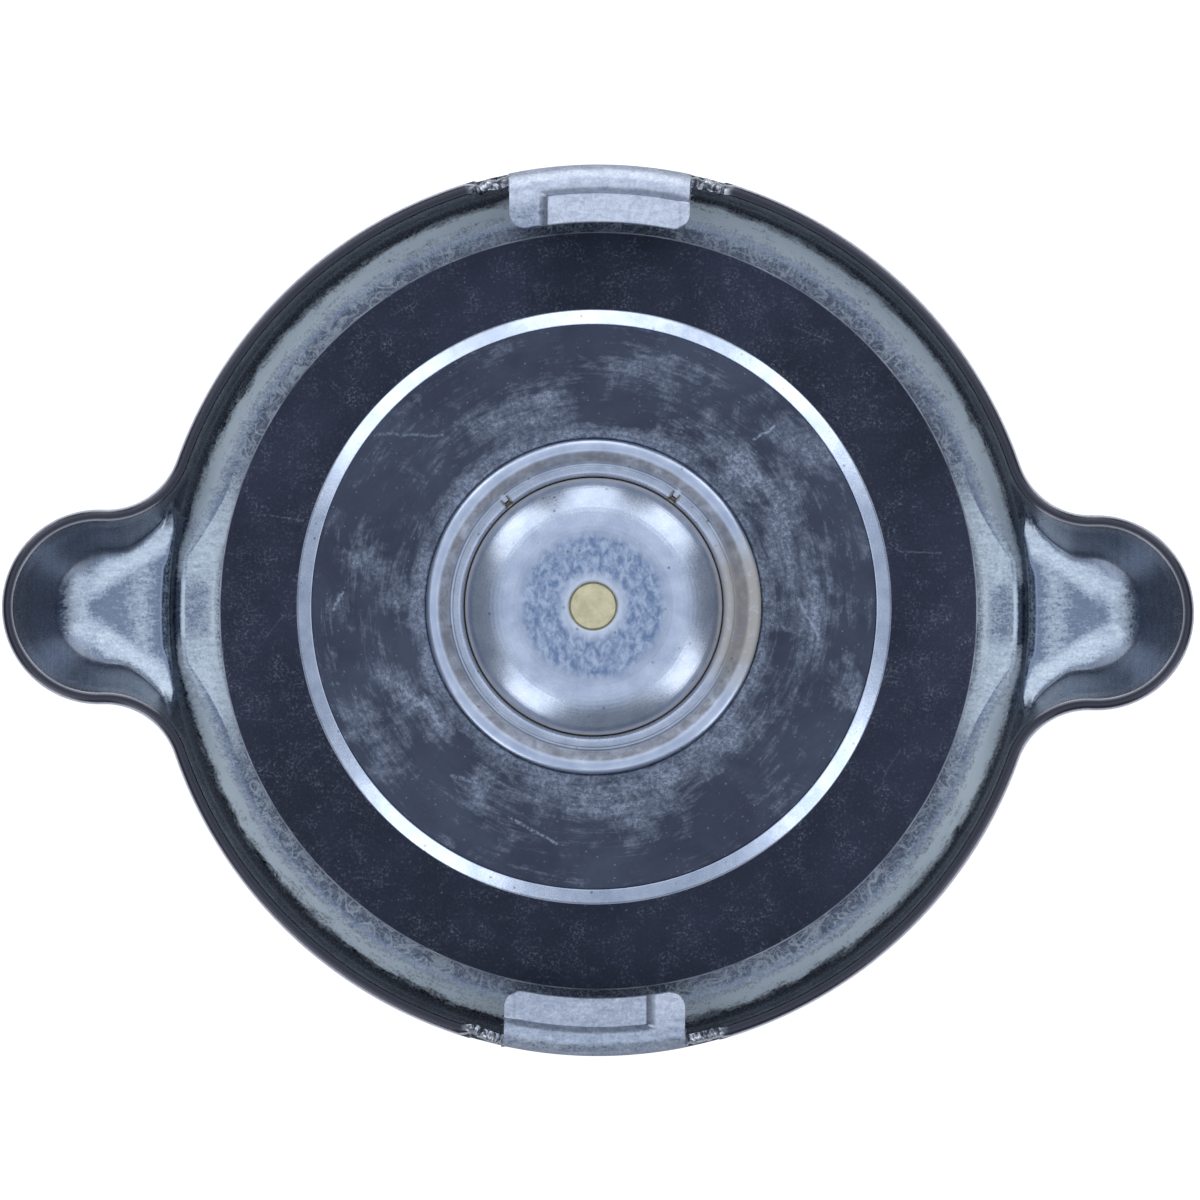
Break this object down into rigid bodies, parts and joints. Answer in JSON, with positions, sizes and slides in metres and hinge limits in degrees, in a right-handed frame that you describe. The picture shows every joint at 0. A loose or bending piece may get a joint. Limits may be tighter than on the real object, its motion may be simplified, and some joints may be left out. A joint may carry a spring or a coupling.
{
  "type": "radiator cap",
  "caption": "Bayonet radiator pressure cap with grip ears, bent-in cam tabs, rubber neck gasket, sprung pressure valve and domed vacuum valve on a brass stem.",
  "frame": {"origin": "centre of the cover's flat top face, on the valve axis, on which the loose cap lies", "axes": "+Z leaves the underside along the valve axis, towards the filler neck; +X runs through the grip ears and +Y through the bayonet tabs"},
  "size_m": [0.0886, 0.0664, 0.0272],
  "materials": {
    "zinc_plate": "worn zinc plating, satin, with scuffs and fine scratches",
    "bright_steel": "bright plated steel, smooth",
    "spring_steel": "plain drawn spring steel",
    "neck_rubber": "matt black rubber with fine dust",
    "seal_rubber": "matt dark rubber with pale smears",
    "stem_brass": "dull pale brass"
  },
  "bodies": {
    "cover_body": {"cover": "zinc_plate", "center_rivet": "bright_steel"},
    "bell_body": {"bell": "zinc_plate", "diaphragm_spring": "spring_steel", "upper_gasket": "neck_rubber", "pressure_spring": "spring_steel"},
    "pressure_body": {"guide_cup": "zinc_plate", "valve_plate": "bright_steel", "pressure_seal": "seal_rubber", "seal_retainer": "bright_steel", "valve_eyelet": "bright_steel", "vacuum_seal": "neck_rubber", "vacuum_spring": "spring_steel"},
    "vacuum_body": {"vacuum_valve": "bright_steel", "vacuum_stem": "stem_brass"}
  },
  "joints": [
    {"name": "bell_swivel", "type": "hinge", "parent": "cover_body", "child": "bell_body", "pos_m": [0, 0, 0.003], "axis": [0, 0, 1], "continuous": true},
    {"name": "pressure_lift", "type": "slide", "parent": "bell_body", "child": "pressure_body", "axis": [0, 0, -1], "range_m": [0, 0.004], "stiffness_N_per_m": 800, "springref_m": -0.004, "deforming": ["pressure_spring"]},
    {"name": "vacuum_lift", "type": "slide", "parent": "pressure_body", "child": "vacuum_body", "axis": [0, 0, 1], "range_m": [0, 0.0016], "stiffness_N_per_m": 100, "springref_m": -0.003, "deforming": ["vacuum_spring"]}
  ]
}
